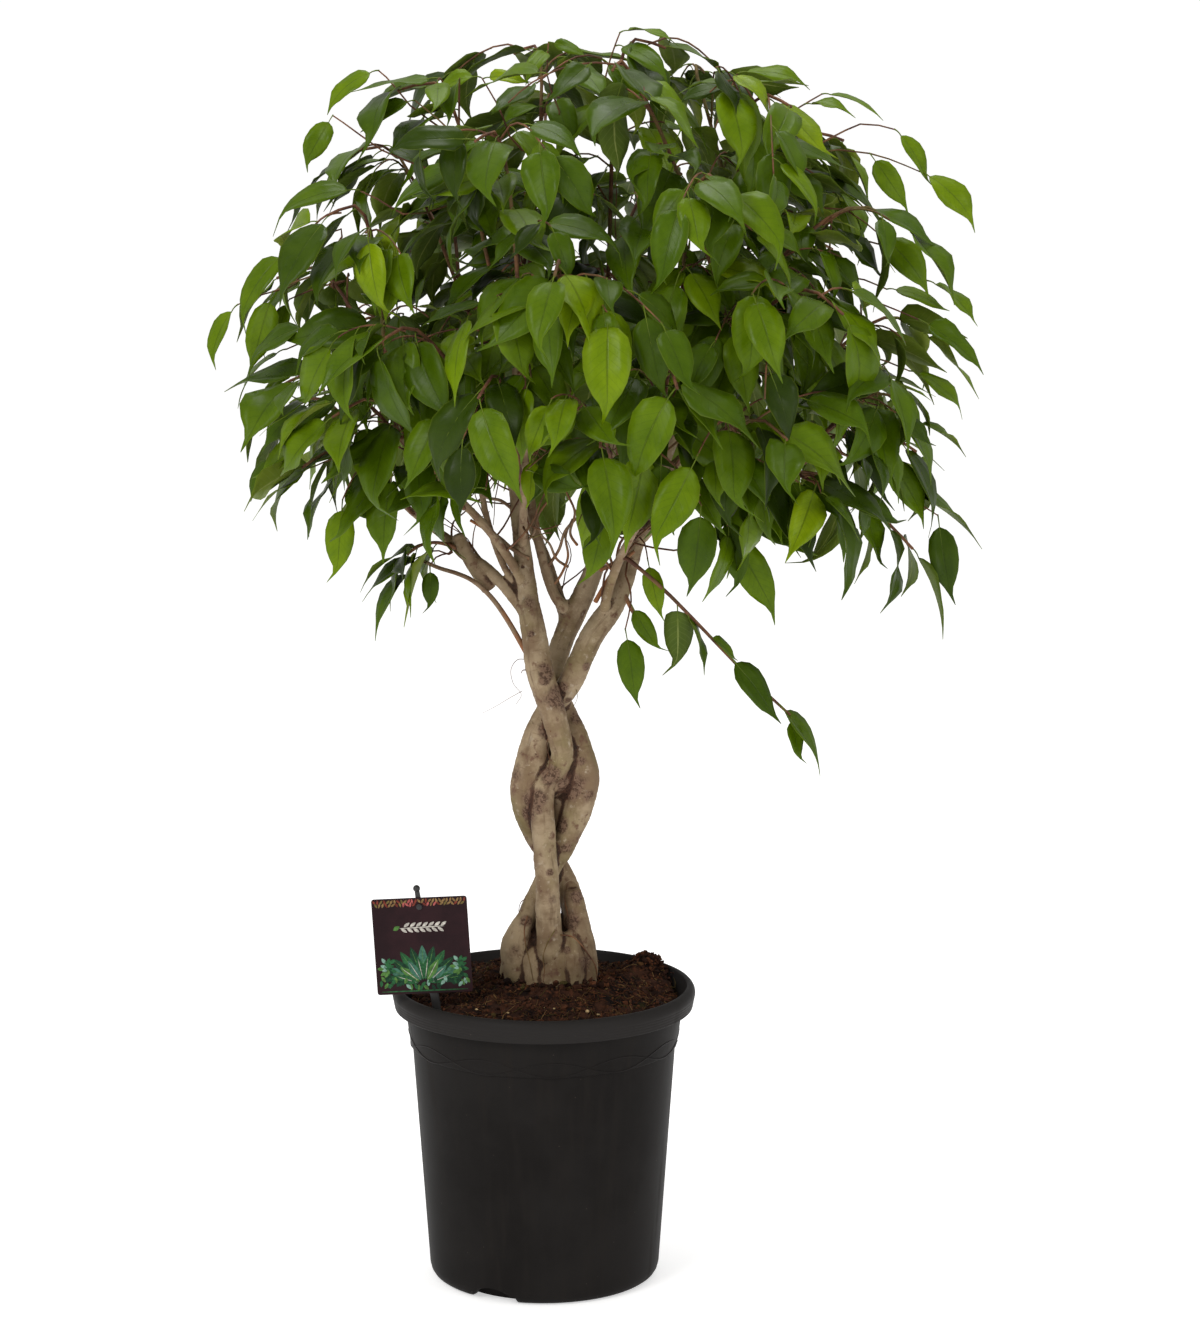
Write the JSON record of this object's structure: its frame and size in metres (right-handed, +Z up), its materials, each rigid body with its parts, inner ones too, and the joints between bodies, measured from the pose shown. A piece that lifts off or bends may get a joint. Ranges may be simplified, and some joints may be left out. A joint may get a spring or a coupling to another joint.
{
  "type": "potted weeping fig",
  "caption": "Weeping fig with plaited trunks and a round crown of drooping leaves, growing in a plastic nursery pot with a plain label on a stake.",
  "frame": {"origin": "centre of the pot's flat underside", "axes": "+Z up along the pot's axis, -Y towards the front, +X to the right as seen from the front"},
  "size_m": [0.6706, 0.673, 1.099],
  "materials": {
    "pot": "satin black moulded plastic",
    "soil": "loose brown peat with fibres",
    "bark": "smooth grey-tan bark with fine ridges",
    "leaf": "glossy green leaf",
    "label": "printed plastic card",
    "stake": "black moulded plastic"
  },
  "bodies": {
    "root": {"braided_trunk": "bark", "label_card": "label", "label_stake": "stake", "leafy_spray_01": "leaf", "leafy_spray_02": "leaf", "leafy_spray_03": "leaf", "leafy_spray_04": "leaf", "leafy_spray_05": "leaf", "leafy_spray_06": "leaf", "leafy_spray_07": "leaf", "leafy_spray_08": "leaf", "leafy_spray_09": "leaf", "leafy_spray_10": "leaf", "leafy_spray_11": "leaf", "leafy_spray_12": "leaf", "leafy_spray_13": "leaf", "leafy_spray_14": "leaf", "leafy_spray_15": "leaf", "leafy_spray_16": "leaf", "leafy_spray_17": "leaf", "leafy_spray_18": "leaf", "leafy_spray_19": "leaf", "leafy_spray_20": "leaf", "leafy_spray_21": "leaf", "leafy_spray_22": "leaf", "leafy_spray_23": "leaf", "leafy_spray_24": "leaf", "leafy_spray_25": "leaf", "leafy_spray_26": "leaf", "leafy_spray_27": "leaf", "leafy_spray_28": "leaf", "leafy_spray_29": "leaf", "leafy_spray_30": "leaf", "leafy_spray_31": "leaf", "leafy_spray_32": "leaf", "leafy_spray_33": "leaf", "leafy_spray_34": "leaf", "leafy_spray_35": "leaf", "leafy_spray_36": "leaf", "leafy_spray_37": "leaf", "leafy_spray_38": "leaf", "leafy_spray_39": "leaf", "leafy_spray_40": "leaf", "leafy_spray_41": "leaf", "leafy_spray_42": "leaf", "leafy_spray_43": "leaf", "leafy_spray_44": "leaf", "pot": "pot", "soil": "soil"}
  },
  "joints": []
}
